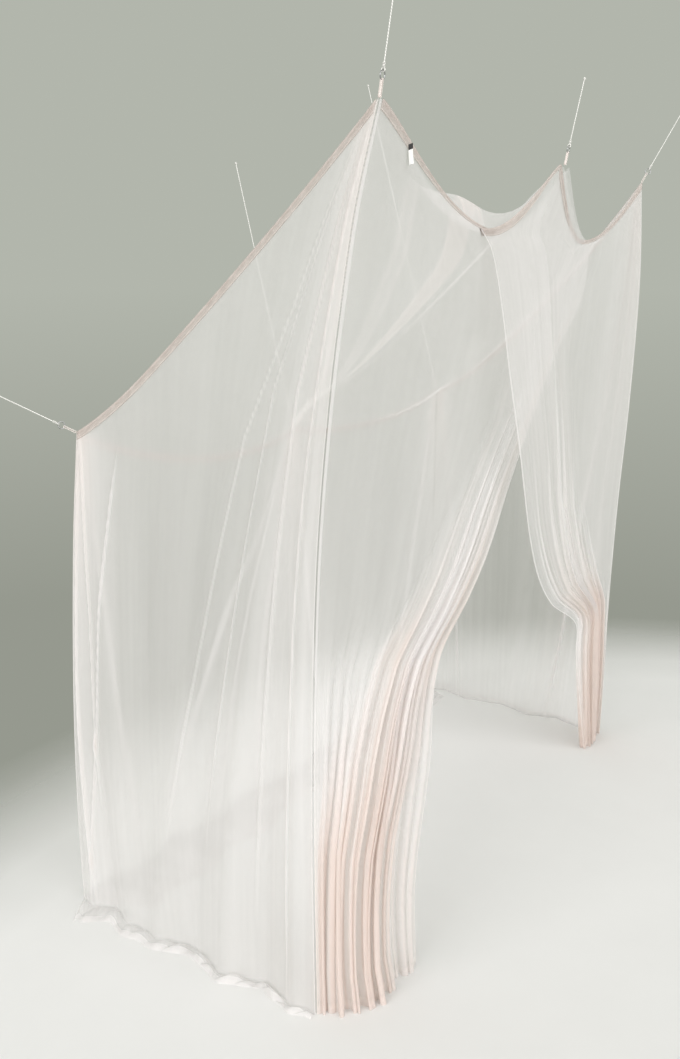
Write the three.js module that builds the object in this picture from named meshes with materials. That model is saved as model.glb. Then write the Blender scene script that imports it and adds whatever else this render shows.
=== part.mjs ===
// A box-shaped mosquito net hung over a single bed from six cords.
// The foot end faces -Y, the head end +Y. The left side hangs low and the right side hangs high.
// Its right side is two overlapping flaps, drawn apart like curtains.
// Millimetres, +Z up, floor at z = 0, origin on the floor under the middle of the net.
// The tables below are measured from the middle of the bed, which MIDDLE brings to the origin.

import * as THREE from 'three';

// ---------------------------------------------------------------- driving dimensions

const MIDDLE = [0, -25]; // from the middle of the bed to the origin, in plan
const CLOTH = 1.6; // thickness of one sheet of net
const ROOF = { below: 4, inset: 2.2, inset_right: 2.9, columns: 18, rows: 16 };
const GAP = 0.5; // clearance between pieces that are sewn or tied together
const SEAM_INSET = 3; // how far each sheet stops short of a corner seam
const TAPE = { width: 20, thickness: 1.6, clear: 1.1, end_gap: 7, below: 3 }; // binding round the roof
const FLAP_STEP = CLOTH + GAP + 0.3; // the head flap lies outside the foot flap by this much
const STEP_RUN = 0.08; // share of an edge in which the binding steps out over the head flap

const LOOP = { length: 42, outer_width: 6.4, wall: 1.3, width: 7, slack: 0.9 };
const RING = { radius: 10.5, wire: 1.25, around: 14, section: 5 };
const TIE = { radius: 4.4, cord: 1.5, around: 10, section: 5 };
const CORD = { radius: 1.5, sides: 8 };
const KNOT = { radius: 4.2, length: 9 };
const LABEL = { width: 20, length: 48, thickness: 1.0, at: 0.12, below: 6 };

const COLOUR = {
  net: 0xe6e2dc,
  tape: 0xe4d4cb,
  cord: 0xf2f0ea,
  steel: 0x8c8f92,
  label: 0xf0eee9,
};

// Corners and middles of the roof, where the net hangs. pull is the way its cord runs.
// reach is the length of cord from the ring to its far knot, and seat how far along the pull
// the foot of its tape loop is sewn.
const HANGINGS = {
  foot_left: { at: [-550, -1000, 1490], pull: [-0.78, -0.42, 0.42], reach: 235, seat: -2.6 },
  foot_right: { at: [510, -1080, 2324], pull: [0.12, 0.06, 0.98], reach: 182, seat: -2.9 },
  middle_left: { at: [-480, 70, 1398], pull: [-0.21, -0.05, 0.97], reach: 905, seat: 0.5 },
  middle_right: { at: [530, 110, 2286], pull: [0.16, 0.10, 0.97], reach: 190, seat: 0.5 },
  head_left: { at: [-400, 1150, 1463], pull: [-0.24, -0.05, 0.96], reach: 1290, seat: -2.6 },
  head_right: { at: [500, 1100, 2316], pull: [0.40, 0.24, 0.86], reach: 330, seat: -2.6 },
};

// Top edges between the hangings. sag is the drop below a straight line, low_at the place of
// its lowest point, point how sharp that is, and inward how far the cloth draws the edge in.
const TOP_EDGES = {
  foot: { from: 'foot_left', to: 'foot_right', sag: 40, low_at: 0.28, point: 0.9, inward: [0, 8] },
  left_foot: {
    from: 'foot_left', to: 'middle_left', sag: 88, low_at: 0.5, point: 0.9, inward: [40, 0],
  },
  left_head: {
    from: 'middle_left', to: 'head_left', sag: 54, low_at: 0.5, point: 0.9, inward: [30, 0],
  },
  right_foot: {
    from: 'foot_right', to: 'middle_right', sag: 232, low_at: 0.55, point: 1.3, inward: [-40, 0],
  },
  right_head: {
    from: 'middle_right', to: 'head_right', sag: 228, low_at: 0.42, point: 1.15, inward: [-26, 0],
  },
  head: { from: 'head_left', to: 'head_right', sag: 100, low_at: 0.4, point: 0.9, inward: [0, -30] },
};

// Upright lines of the net by height: its four corner seams and the free edges of the flaps.
const UPRIGHTS = {
  foot_left: [
    { z: 1490, x: -550, y: -1000 },
    { z: 1140, x: -562, y: -1028 },
    { z: 650, x: -572, y: -1052 },
    { z: 300, x: -570, y: -1062 },
    { z: 0, x: -556, y: -1070 },
  ],
  foot_right: [
    { z: 2324, x: 510, y: -1080 },
    { z: 2090, x: 462, y: -1102 },
    { z: 1886, x: 432, y: -1112 },
    { z: 1630, x: 402, y: -1122 },
    { z: 1270, x: 378, y: -1138 },
    { z: 900, x: 372, y: -1152 },
    { z: 500, x: 376, y: -1165 },
    { z: 0, x: 392, y: -1180 },
  ],
  head_left: [
    { z: 1463, x: -400, y: 1150 },
    { z: 800, x: -412, y: 1165 },
    { z: 0, x: -430, y: 1175 },
  ],
  head_right: [
    { z: 2316, x: 500, y: 1100 },
    { z: 1940, x: 514, y: 1106 },
    { z: 1458, x: 502, y: 1104 },
    { z: 1040, x: 480, y: 1098 },
    { z: 730, x: 470, y: 1092 },
    { z: 370, x: 462, y: 1085 },
    { z: 0, x: 440, y: 1075 },
  ],
  foot_flap_edge: [
    { z: 2060, x: 470, y: 525 },
    { z: 1866, x: 456, y: 510 },
    { z: 1701, x: 446, y: 325 },
    { z: 1476, x: 440, y: 118 },
    { z: 1276, x: 442, y: -65 },
    { z: 1103, x: 462, y: -262 },
    { z: 1009, x: 480, y: -435 },
    { z: 900, x: 508, y: -696 },
    { z: 584, x: 518, y: -768 },
    { z: 275, x: 520, y: -848 },
    { z: 0, x: 520, y: -836 },
  ],
  head_flap_edge: [
    { z: 2070, x: 464, y: -400 },
    { z: 2014, x: 484, y: -364 },
    { z: 1870, x: 508, y: -340 },
    { z: 1651, x: 533, y: -312 },
    { z: 1443, x: 544, y: -247 },
    { z: 1040, x: 538, y: -60 },
    { z: 820, x: 512, y: 200 },
    { z: 640, x: 490, y: 565 },
    { z: 500, x: 482, y: 615 },
    { z: 300, x: 476, y: 700 },
    { z: 0, x: 462, y: 850 },
  ],
};

// Soft folds of the plain walls. Each starts at a place along the top edge and ends at a place
// along the hem, and opens out as it falls. Places and widths are shares of the wall's width.
const FOOT_WALL_FOLDS = [
  { top: 1.0, hem: 0.93, depth: 16, width: 0.03 },
  { top: 1.0, hem: 0.8, depth: -22, width: 0.04 },
  { top: 1.0, hem: 0.66, depth: 26, width: 0.05 },
  { top: 0.98, hem: 0.5, depth: -20, width: 0.05 },
  { top: 0.9, hem: 0.36, depth: 18, width: 0.05 },
  { top: 0.0, hem: 0.05, depth: 18, width: 0.03 },
  { top: 0.0, hem: 0.14, depth: -20, width: 0.04 },
  { top: 0.02, hem: 0.24, depth: 16, width: 0.045 },
];
const LEFT_WALL_FOLDS = [
  { top: 0.0, hem: 0.05, depth: 16, width: 0.025 },
  { top: 0.0, hem: 0.13, depth: -20, width: 0.03 },
  { top: 0.49, hem: 0.2, depth: 30, width: 0.03 },
  { top: 0.5, hem: 0.29, depth: -26, width: 0.03 },
  { top: 0.5, hem: 0.38, depth: 26, width: 0.035 },
  { top: 0.51, hem: 0.5, depth: -24, width: 0.035 },
  { top: 0.52, hem: 0.6, depth: 24, width: 0.035 },
  { top: 0.98, hem: 0.72, depth: -20, width: 0.035 },
  { top: 1.0, hem: 0.83, depth: 22, width: 0.035 },
  { top: 1.0, hem: 0.93, depth: -10, width: 0.035 },
];
const HEAD_WALL_FOLDS = [
  { top: 0.0, hem: 0.1, depth: 18, width: 0.04 },
  { top: 0.03, hem: 0.25, depth: -20, width: 0.05 },
  { top: 0.97, hem: 0.45, depth: 20, width: 0.055 },
  { top: 0.99, hem: 0.62, depth: -22, width: 0.05 },
  { top: 1.0, hem: 0.78, depth: 22, width: 0.045 },
  { top: 1.0, hem: 0.91, depth: -14, width: 0.035 },
];

// Creases that the pull of the hangings raises in the roof. Each runs between two places:
// along is from the foot (0) to the head (1), across is from the left (0) to the right (1).
const ROOF_RIM_LIFT = { foot_half: 130, head_half: 45, across: 0.935, width: 0.04 };
const ROOF_CREASES = [
  { along_from: 0.5, across_from: 0.03, along_to: 0.0, across_to: 0.97, height: 26, width: 0.07 },
  { along_from: 0.5, across_from: 0.03, along_to: 0.27, across_to: 0.97, height: 34, width: 0.06 },
  { along_from: 0.5, across_from: 0.03, along_to: 0.52, across_to: 0.97, height: 24, width: 0.07 },
  { along_from: 0.97, across_from: 0.03, along_to: 0.55, across_to: 0.97, height: 24, width: 0.07 },
];

// Plain walls. lie is the length of cloth that lies on the floor at the wall's start and end,
// out the way the wall faces, lie_way the way its end lies, taper how far that is drawn in,
// billow how far the cloth stands out between top and floor, crumple how high its end rucks up.
const WALLS = {
  foot_wall: {
    edges: ['foot'], start: 'foot_left', end: 'foot_right', out: [0, -1],
    lie_way: [0.5, -0.86], lie_way_end: [0, -0.86],
    lie_start: 150, lie_end: 30, lie_power: 0.3, taper: 0, billow: 10, crumple: 34,
    folds: FOOT_WALL_FOLDS, columns: 34, fall_rows: 9, floor_rows: 3,
  },
  left_wall: {
    edges: ['left_foot', 'left_head'], start: 'foot_left', end: 'head_left', out: [-1, 0],
    lie_way: [1, 0], lie_way_end: [0.5, 0], lie_start: 230, lie_end: 250, lie_power: 1, taper: 60,
    billow: 12, crumple: 18,
    folds: LEFT_WALL_FOLDS, columns: 38, fall_rows: 9, floor_rows: 3,
  },
  head_wall: {
    edges: ['head'], start: 'head_left', end: 'head_right', out: [0, 1],
    lie_way: [0, 1], lie_way_end: [0, 1],
    lie_start: 90, lie_end: 24, lie_power: 1, taper: 0, billow: 8, crumple: 18,
    folds: HEAD_WALL_FOLDS, columns: 24, fall_rows: 9, floor_rows: 2,
  },
};

// Gathered flaps of the right side. from and to are places along the right top edge, where
// 0 is the foot corner, 1 the middle hanging and 2 the head corner. belly is how far the
// flap's foot stands out at the floor, gather how strongly the cloth crowds to one edge.
const FLAPS = {
  foot_flap: {
    from: 0, to: 1.42, start: 'foot_right', end: 'foot_flap_edge', outside: 0, belly: 62,
    cut_width: 1750, waves: 9, gather: 2.15, dense_end: 'end', columns: 54, rows: 15,
  },
  head_flap: {
    from: 0.54, to: 2, start: 'head_flap_edge', end: 'head_right', outside: FLAP_STEP, belly: 0,
    cut_width: 1750, waves: 8, gather: 1.7, dense_end: 'start', columns: 48, rows: 13,
  },
};

const CROWDING = 0.6; // 0 spreads a flap's pleats evenly, 1 packs them at its free edge

// ---------------------------------------------------------------- curves and folds

const mix = (a, b, t) => a + (b - a) * t;
const clamp01 = (t) => Math.min(1, Math.max(0, t));
const ease = (t) => t * t * (3 - 2 * t);

// A point on a top edge, t from 0 at its first hanging to 1 at its second.
function topEdge(edge, t) {
  const a = HANGINGS[edge.from].at;
  const b = HANGINGS[edge.to].at;
  const skewed = t < edge.low_at ? t / edge.low_at / 2 : 1 - (1 - t) / (1 - edge.low_at) / 2;
  const hang = Math.max(0, 4 * skewed * (1 - skewed)) ** edge.point;
  return new THREE.Vector3(
    mix(a[0], b[0], t) + edge.inward[0] * hang,
    mix(a[1], b[1], t) + edge.inward[1] * hang,
    mix(a[2], b[2], t) - edge.sag * hang,
  );
}

// A point along a side made of one or two top edges, t from 0 to the number of edges.
function topSide(names, t) {
  const index = Math.min(names.length - 1, Math.floor(t));
  return topEdge(TOP_EDGES[names[index]], t - index);
}

// How tall the binding stands at a place: more where the edge is steep, up to a limit.
function tapeHeight(names, t) {
  const step = 0.02;
  const before = topSide(names, Math.max(0, t - step));
  const after = topSide(names, Math.min(names.length, t + step));
  const run = Math.hypot(after.x - before.x, after.y - before.y);
  return TAPE.width * Math.min(1.5, Math.hypot(run, after.z - before.z) / run);
}

// The plan position of an upright line at a height, smoothly between its rows.
function uprightAt(rows, z) {
  const last = rows.length - 1;
  if (z >= rows[0].z) return new THREE.Vector2(rows[0].x, rows[0].y);
  if (z <= rows[last].z) return new THREE.Vector2(rows[last].x, rows[last].y);
  const i = rows.findIndex((row, k) => z <= row.z && z >= rows[k + 1].z);
  const t = (rows[i].z - z) / (rows[i].z - rows[i + 1].z);
  const before = rows[Math.max(0, i - 1)];
  const after = rows[Math.min(last, i + 2)];
  const curve = (key) => {
    const span = rows[i].z - rows[i + 1].z;
    const slope0 = (rows[i + 1][key] - before[key]) / Math.max(1, before.z - rows[i + 1].z) * span;
    const slope1 = (after[key] - rows[i][key]) / Math.max(1, rows[i].z - after.z) * span;
    const t2 = t * t;
    const t3 = t2 * t;
    return (2 * t3 - 3 * t2 + 1) * rows[i][key] + (t3 - 2 * t2 + t) * slope0
      + (-2 * t3 + 3 * t2) * rows[i + 1][key] + (t3 - t2) * slope1;
  };
  return new THREE.Vector2(curve('x'), curve('y'));
}

// Outward shift that a table of fanning folds gives at place s along the wall and fall v.
function foldShift(folds, s, v) {
  const edge_fade = ease(clamp01(s / 0.04)) * ease(clamp01((1 - s) / 0.04));
  let shift = 0;
  for (const fold of folds) {
    const centre = mix(fold.top, fold.hem, v ** 0.6);
    const width = fold.width * mix(0.45, 1, v);
    shift += fold.depth * v ** 0.8 * Math.exp(-(((s - centre) / width) ** 2));
  }
  return shift * edge_fade;
}

// ---------------------------------------------------------------- sheets

// A closed sheet of even thickness whose middle surface is point(s, v).
function sheetGeometry(point, columns, rows, thickness) {
  const grid = [];
  for (let j = 0; j <= rows; j += 1) {
    for (let i = 0; i <= columns; i += 1) {
      grid.push(point(i / columns, j / rows));
    }
  }
  const at = (i, j) => grid[j * (columns + 1) + i];
  const unit = (from, to) => to.clone().sub(from).normalize();
  const normals = [];
  for (let j = 0; j <= rows; j += 1) {
    for (let i = 0; i <= columns; i += 1) {
      const here = at(i, j);
      const along = unit(here, at(Math.min(columns, i + 1), j)).add(unit(at(Math.max(0, i - 1), j), here));
      const down = unit(here, at(i, Math.min(rows, j + 1))).add(unit(at(i, Math.max(0, j - 1)), here));
      normals.push(along.cross(down).normalize());
    }
  }
  const geometry = new THREE.BoxGeometry(1, 1, 1, columns, rows, 1);
  const position = geometry.attributes.position;
  for (let k = 0; k < position.count; k += 1) {
    const i = Math.round((position.getX(k) + 0.5) * columns);
    const j = Math.round((0.5 - position.getY(k)) * rows);
    const side = position.getZ(k) > 0 ? -0.5 : 0.5;
    const index = j * (columns + 1) + i;
    const p = grid[index].clone().addScaledVector(normals[index], side * thickness);
    position.setXYZ(k, p.x, p.y, Math.max(0, p.z));
  }
  // Both faces are split along the same diagonals, so that a twisted patch keeps its thickness.
  const inner = geometry.groups[5];
  const corners = geometry.index.array;
  for (let k = inner.start; k < inner.start + inner.count; k += 6) {
    const [a, b, d, , c] = corners.slice(k, k + 6);
    corners.set([a, b, c, a, c, d], k);
  }
  return geometry;
}

// A plain wall: it falls from its binding to the floor, and its last stretch lies there.
function wallPoint(wall) {
  const sides = wall.edges.length;
  const floor_share = wall.floor_rows / (wall.fall_rows + wall.floor_rows);
  const outward = new THREE.Vector2(...wall.out);
  return (s, v) => {
    const top = topSide(wall.edges, s * sides);
    top.z -= TAPE.below;
    const fall = clamp01(v / (1 - floor_share));
    const on_floor = clamp01((v - (1 - floor_share)) / floor_share);
    const z = top.z * (1 - fall);
    const start = uprightAt(UPRIGHTS[wall.start], z);
    const end = uprightAt(UPRIGHTS[wall.end], z);
    const plan = start.clone().lerp(end, s);
    const start_top = uprightAt(UPRIGHTS[wall.start], top.z);
    const end_top = uprightAt(UPRIGHTS[wall.end], top.z);
    const top_plan = start_top.lerp(end_top, s);
    const keep = (1 - fall) ** 2;
    plan.x += (top.x - top_plan.x) * keep;
    plan.y += (top.y - top_plan.y) * keep;
    const spread = Math.sin(Math.PI * s) * wall.billow * Math.sin(Math.PI * fall);
    const lie = mix(wall.lie_start, wall.lie_end, s ** wall.lie_power) * on_floor;
    plan.addScaledVector(outward, spread + foldShift(wall.folds, s, fall));
    plan.x += mix(wall.lie_way[0], wall.lie_way_end[0], s) * lie;
    plan.y += mix(wall.lie_way[1], wall.lie_way_end[1], s) * lie;
    const side_way = end.clone().sub(start).normalize();
    const drawn_in = SEAM_INSET + wall.taper * ease(on_floor);
    plan.addScaledVector(side_way, (1 - 2 * s) * drawn_in);
    const ruck = Math.abs(Math.sin(s * 41 + on_floor * 2.2) * Math.sin(s * 23 + 1.1));
    const rim = ease(clamp01(s * (1 - s) * 30));
    const lift = wall.crumple * ruck * Math.sin(Math.PI * on_floor) * rim;
    return new THREE.Vector3(plan.x, plan.y, Math.max(z, CLOTH / 2) + lift);
  };
}

// A gathered flap: the cloth crowds towards one upright edge, in pleats that deepen downwards.
function flapPoint(flap) {
  const edges = ['right_foot', 'right_head'];
  const at_end = flap.dense_end === 'end';
  const wave_cloth = flap.cut_width / flap.waves;
  return (s, v) => {
    const place = mix(flap.from, flap.to, s);
    const top = topSide(edges, place);
    top.z -= TAPE.below;
    top.x += flap.outside;
    const z = Math.max(top.z * (1 - v), 0);
    const start = uprightAt(UPRIGHTS[flap.start], z);
    const end = uprightAt(UPRIGHTS[flap.end], z);
    const chord = end.clone().sub(start);
    const toward = at_end ? s : 1 - s;
    const crowd = 1 + (flap.gather - 1) * ease(clamp01(v * 1.5));
    const crowded = mix(toward, 1 - (1 - toward) ** crowd, CROWDING);
    const share = at_end ? crowded : 1 - crowded;
    const slope = mix(1, crowd * (1 - toward) ** (crowd - 1), CROWDING);
    const plan = start.clone().addScaledVector(chord, share);
    const top_plan = uprightAt(UPRIGHTS[flap.start], top.z)
      .lerp(uprightAt(UPRIGHTS[flap.end], top.z), s);
    const keep = (1 - v) ** 2;
    plan.x += (top.x - top_plan.x) * keep;
    plan.y += (top.y - top_plan.y) * keep;
    const packed = clamp01(slope * chord.length() / flap.cut_width);
    const depth = wave_cloth / 4 * Math.sqrt(1 - packed * packed) * ease(clamp01(v * 1.35));
    const phase = 2 * Math.PI * (flap.waves * s + 0.14 * Math.sin(9 * s) + 0.04 * Math.sin(23 * s));
    const fade = ease(clamp01(s / 0.05)) * ease(clamp01((1 - s) / 0.05));
    const across = new THREE.Vector2(chord.y, -chord.x).normalize();
    const stand_out = flap.belly * Math.sin(Math.PI * s) * v * v;
    plan.addScaledVector(across, depth * Math.sin(phase) * fade + stand_out);
    plan.addScaledVector(chord.normalize(), (1 - 2 * s) * SEAM_INSET);
    return new THREE.Vector3(plan.x, plan.y, z);
  };
}

// The roof: one panel between the four bound sides, with creases from the hangings.
function roofPoint(across, along) {
  const left = topSide(['left_foot', 'left_head'], along * 2);
  const right = topSide(['right_foot', 'right_head'], along * 2);
  const foot = topEdge(TOP_EDGES.foot, across);
  const head = topEdge(TOP_EDGES.head, across);
  const corner = (name) => new THREE.Vector3(...HANGINGS[name].at);
  const foot_line = corner('foot_left').lerp(corner('foot_right'), across);
  const head_line = corner('head_left').lerp(corner('head_right'), across);
  const point = left.lerp(right, across);
  point.addScaledVector(foot.sub(foot_line), 1 - along);
  point.addScaledVector(head.sub(head_line), along);
  const rim = ease(clamp01(across * 9)) * ease(clamp01((1 - across) * 9));
  const ends = ease(clamp01(along * 12)) * ease(clamp01((1 - along) * 12));
  for (const crease of ROOF_CREASES) {
    const run_along = crease.along_to - crease.along_from;
    const run_across = crease.across_to - crease.across_from;
    const place = clamp01((across - crease.across_from) / run_across);
    const off = along - (crease.along_from + run_along * place);
    point.z += crease.height * rim * ends * Math.exp(-((off / crease.width) ** 2));
  }
  const half = along < 0.5 ? ROOF_RIM_LIFT.foot_half : ROOF_RIM_LIFT.head_half;
  const beside_rim = Math.exp(-(((across - ROOF_RIM_LIFT.across) / ROOF_RIM_LIFT.width) ** 2));
  const near_rim = ease(clamp01((1 - across) * 24));
  point.z += half * Math.sin(2 * Math.PI * along) ** 2 * beside_rim * near_rim;
  point.x += mix(ROOF.inset, -ROOF.inset_right, across);
  point.y += mix(ROOF.inset, -ROOF.inset, along);
  point.z -= ROOF.below;
  return point;
}

// A point of a wall, flat between the columns of its sheet. t is the place along its edges.
const wallCloth = (wall) => (t, row) => {
  const along = t / wall.edges.length * wall.columns;
  const column = Math.min(wall.columns - 1, Math.floor(along));
  const v = row / (wall.fall_rows + wall.floor_rows);
  const point = wallPoint(wall);
  return point(column / wall.columns, v).lerp(point((column + 1) / wall.columns, v), along - column);
};

// The outer cloth of the right side under its binding, t from 0 at the foot to 2 at the head.
function rightCloth(t, row) {
  const { foot_flap, head_flap } = FLAPS;
  if (t >= head_flap.from) {
    const s = (t - head_flap.from) / (head_flap.to - head_flap.from);
    return flapPoint(head_flap)(s, row / head_flap.rows);
  }
  const point = flapPoint(foot_flap)(t / foot_flap.to, row / foot_flap.rows);
  point.x += FLAP_STEP * ease(clamp01((t - head_flap.from) / STEP_RUN + 1));
  return point;
}

// Where a binding lies: a point on the top of its cloth, the way down the cloth and the way
// across it, t from 0 to the number of edges.
function clothTop(binding, t) {
  const step = 0.01;
  const top = binding.cloth(t, 0);
  const down = binding.cloth(t, 1).sub(top).normalize();
  const along = binding.cloth(Math.min(binding.edges.length, t + step), 0)
    .sub(binding.cloth(Math.max(0, t - step), 0));
  const across = down.clone().cross(along).normalize();
  return { top, down, across };
}

// The binding: a strip of tape sewn along the top of the cloth, on its outer face.
function bindingGeometry(binding) {
  const sides = binding.edges.length;
  const geometry = new THREE.BoxGeometry(1, 1, 1, binding.segments, 1, 1);
  const position = geometry.attributes.position;
  const length = topSide(binding.edges, 0).distanceTo(topSide(binding.edges, sides));
  const trim = TAPE.end_gap / length;
  const cover = (CLOTH + TAPE.thickness) / 2 + TAPE.clear;
  for (let k = 0; k < position.count; k += 1) {
    const t = Math.min(1 - trim, Math.max(trim, position.getX(k) + 0.5)) * sides;
    const { top, down, across } = clothTop(binding, t);
    const reach = position.getY(k) < 0 ? tapeHeight(binding.edges, t) : -TAPE.below;
    top.addScaledVector(down, reach);
    top.addScaledVector(across, cover * binding.facing + position.getZ(k) * TAPE.thickness);
    position.setXYZ(k, top.x, top.y, top.z);
  }
  return geometry;
}

// Bindings by edge. facing is 1 where the cloth's outer face is on the right of its run, else -1.
const BINDINGS = {
  binding_foot: { edges: ['foot'], cloth: wallCloth(WALLS.foot_wall), segments: 34, facing: 1 },
  binding_left: {
    edges: ['left_foot', 'left_head'], cloth: wallCloth(WALLS.left_wall), segments: 38, facing: -1,
  },
  binding_right: { edges: ['right_foot', 'right_head'], cloth: rightCloth, segments: 48, facing: 1 },
  binding_head: { edges: ['head'], cloth: wallCloth(WALLS.head_wall), segments: 24, facing: -1 },
};

// ---------------------------------------------------------------- hanging hardware

const material = (colour, roughness, metalness) => new THREE.MeshStandardMaterial({
  color: colour, roughness, metalness,
});
const net = new THREE.Group();

function add(name, geometry, colour, roughness = 0.9, metalness = 0) {
  const mesh = new THREE.Mesh(geometry, material(colour, roughness, metalness));
  mesh.name = name;
  net.add(mesh);
  return mesh;
}

// A round bar bent into a closed ring in the local XZ plane.
function ringGeometry(radius, bar, around, section) {
  const profile = [];
  for (let k = 0; k <= section; k += 1) {
    const angle = (2 * Math.PI * k) / section;
    profile.push(new THREE.Vector2(radius + bar * Math.cos(angle), bar * Math.sin(angle)));
  }
  profile[section].copy(profile[0]);
  return new THREE.LatheGeometry(profile, around);
}

// A tape folded into a long loop, open along its width.
function loopGeometry() {
  const half = LOOP.outer_width / 2;
  const outline = (radius, inset) => {
    const path = new THREE.Path();
    path.absarc(0, LOOP.length - half, radius, 0, Math.PI, false);
    path.absarc(0, inset, radius, Math.PI, 2 * Math.PI, false);
    path.closePath();
    return path;
  };
  const shape = new THREE.Shape(outline(half, half).getPoints(3));
  shape.holes.push(new THREE.Path(outline(half - LOOP.wall, half).getPoints(3)));
  const geometry = new THREE.ExtrudeGeometry(shape, { depth: LOOP.width, bevelEnabled: false });
  geometry.translate(0, 0, -LOOP.width / 2);
  return geometry;
}

function knotGeometry() {
  const profile = [
    new THREE.Vector2(0, 0),
    new THREE.Vector2(KNOT.radius * 0.75, KNOT.length * 0.12),
    new THREE.Vector2(KNOT.radius, KNOT.length * 0.45),
    new THREE.Vector2(KNOT.radius * 0.7, KNOT.length * 0.85),
    new THREE.Vector2(0, KNOT.length),
  ];
  return new THREE.LatheGeometry(profile, 8);
}

// One hanging: tape loop, ring, tie, cord and the knot at the cord's far end, all in line.
function addHanging(name, hanging) {
  const pull = new THREE.Vector3(...hanging.pull).normalize();
  const width = new THREE.Vector3(-pull.y, pull.x, 0).normalize();
  if (Math.hypot(pull.x, pull.y) < 0.2) width.set(1, 0, 0).addScaledVector(pull, -pull.x).normalize();
  const face = new THREE.Vector3().crossVectors(pull, width);
  const frame = new THREE.Group();
  frame.position.set(...hanging.at);
  frame.setRotationFromMatrix(new THREE.Matrix4().makeBasis(face, pull, width.clone()));
  net.add(frame);

  const put = (part, geometry, colour, height, roughness, metalness) => {
    const mesh = new THREE.Mesh(geometry, material(colour, roughness, metalness));
    mesh.name = `${part}_${name}`;
    mesh.position.y = height;
    frame.add(mesh);
    return mesh;
  };
  put('tape_loop', loopGeometry(), COLOUR.tape, hanging.seat, 0.9, 0);
  const ring_low = hanging.seat + LOOP.length - LOOP.outer_width / 2 - LOOP.slack;
  const ring_centre = ring_low + RING.radius;
  const ring = put('ring', ringGeometry(RING.radius, RING.wire, RING.around, RING.section),
    COLOUR.steel, ring_centre, 0.3, 1);
  ring.rotation.z = Math.PI / 2;
  const tie_room = TIE.radius - TIE.cord - RING.wire - GAP;
  const tie_centre = ring_centre + RING.radius + tie_room;
  const tie = put('tie', ringGeometry(TIE.radius, TIE.cord, TIE.around, TIE.section),
    COLOUR.cord, tie_centre, 0.8, 0);
  tie.rotation.x = Math.PI / 2;
  const cord_start = tie_centre + TIE.radius + TIE.cord + GAP;
  const section = new THREE.Shape();
  section.absarc(0, 0, CORD.radius, 0, 2 * Math.PI, false);
  const route = new THREE.LineCurve3(
    new THREE.Vector3(0, 0, 0),
    new THREE.Vector3(0, hanging.reach, 0),
  );
  const cord = new THREE.ExtrudeGeometry(section, {
    steps: Math.max(2, Math.round(hanging.reach / 400)),
    curveSegments: CORD.sides,
    extrudePath: route,
  });
  put('cord', cord, COLOUR.cord, cord_start, 0.8, 0);
  put('cord_knot', knotGeometry(), COLOUR.cord, cord_start + hanging.reach + GAP, 0.8, 0);
}

// A small label, sewn by its top hem to the outer face of the right binding.
function addLabel() {
  const { top, down, across: out } = clothTop(BINDINGS.binding_right, LABEL.at);
  const side = new THREE.Vector3().crossVectors(out, down);
  const label = new THREE.BoxGeometry(LABEL.thickness, LABEL.width, LABEL.length, 1, 2, 4);
  const mesh = add('label', label, COLOUR.label, 0.8, 0);
  const lift = CLOTH / 2 + TAPE.clear + TAPE.thickness + GAP + LABEL.thickness / 2;
  mesh.setRotationFromMatrix(new THREE.Matrix4().makeBasis(out, side, down.clone().negate()));
  mesh.position.copy(top).addScaledVector(out, lift).addScaledVector(down, LABEL.below + LABEL.length / 2);
}

// ---------------------------------------------------------------- assembly

add('roof', sheetGeometry(roofPoint, ROOF.columns, ROOF.rows, CLOTH), COLOUR.net);

for (const [name, wall] of Object.entries(WALLS)) {
  const rows = wall.fall_rows + wall.floor_rows;
  const geometry = sheetGeometry(wallPoint(wall), wall.columns, rows, CLOTH);
  add(name, geometry, COLOUR.net);
}

for (const [name, flap] of Object.entries(FLAPS)) {
  add(name, sheetGeometry(flapPoint(flap), flap.columns, flap.rows, CLOTH), COLOUR.net);
}

for (const [name, binding] of Object.entries(BINDINGS)) {
  add(name, bindingGeometry(binding), COLOUR.tape);
}

addLabel();

for (const [name, hanging] of Object.entries(HANGINGS)) addHanging(name, hanging);

net.position.set(MIDDLE[0], MIDDLE[1], 0);

export default net;
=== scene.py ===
import math

import bmesh
import bpy
import numpy as np
from mathutils import Matrix, Vector


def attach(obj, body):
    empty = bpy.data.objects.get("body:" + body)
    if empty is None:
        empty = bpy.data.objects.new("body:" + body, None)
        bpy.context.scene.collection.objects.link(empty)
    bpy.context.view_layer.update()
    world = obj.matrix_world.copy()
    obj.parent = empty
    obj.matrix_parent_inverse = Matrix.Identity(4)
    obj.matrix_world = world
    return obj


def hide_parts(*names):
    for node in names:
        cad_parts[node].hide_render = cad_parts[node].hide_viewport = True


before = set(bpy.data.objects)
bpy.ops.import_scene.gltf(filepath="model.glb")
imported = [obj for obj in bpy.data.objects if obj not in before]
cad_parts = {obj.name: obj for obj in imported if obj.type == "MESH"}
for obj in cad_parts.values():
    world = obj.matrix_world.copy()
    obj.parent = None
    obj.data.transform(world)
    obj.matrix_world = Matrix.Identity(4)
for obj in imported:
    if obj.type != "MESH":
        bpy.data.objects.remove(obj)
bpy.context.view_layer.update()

# A box-shaped mosquito net hung over a single bed from six cords. Metres, +Z up, floor at z = 0.
# The foot end faces -Y and the head end +Y. The left side hangs low and the right side high.

# ---------------- sizes of the cut and the hang

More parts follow.
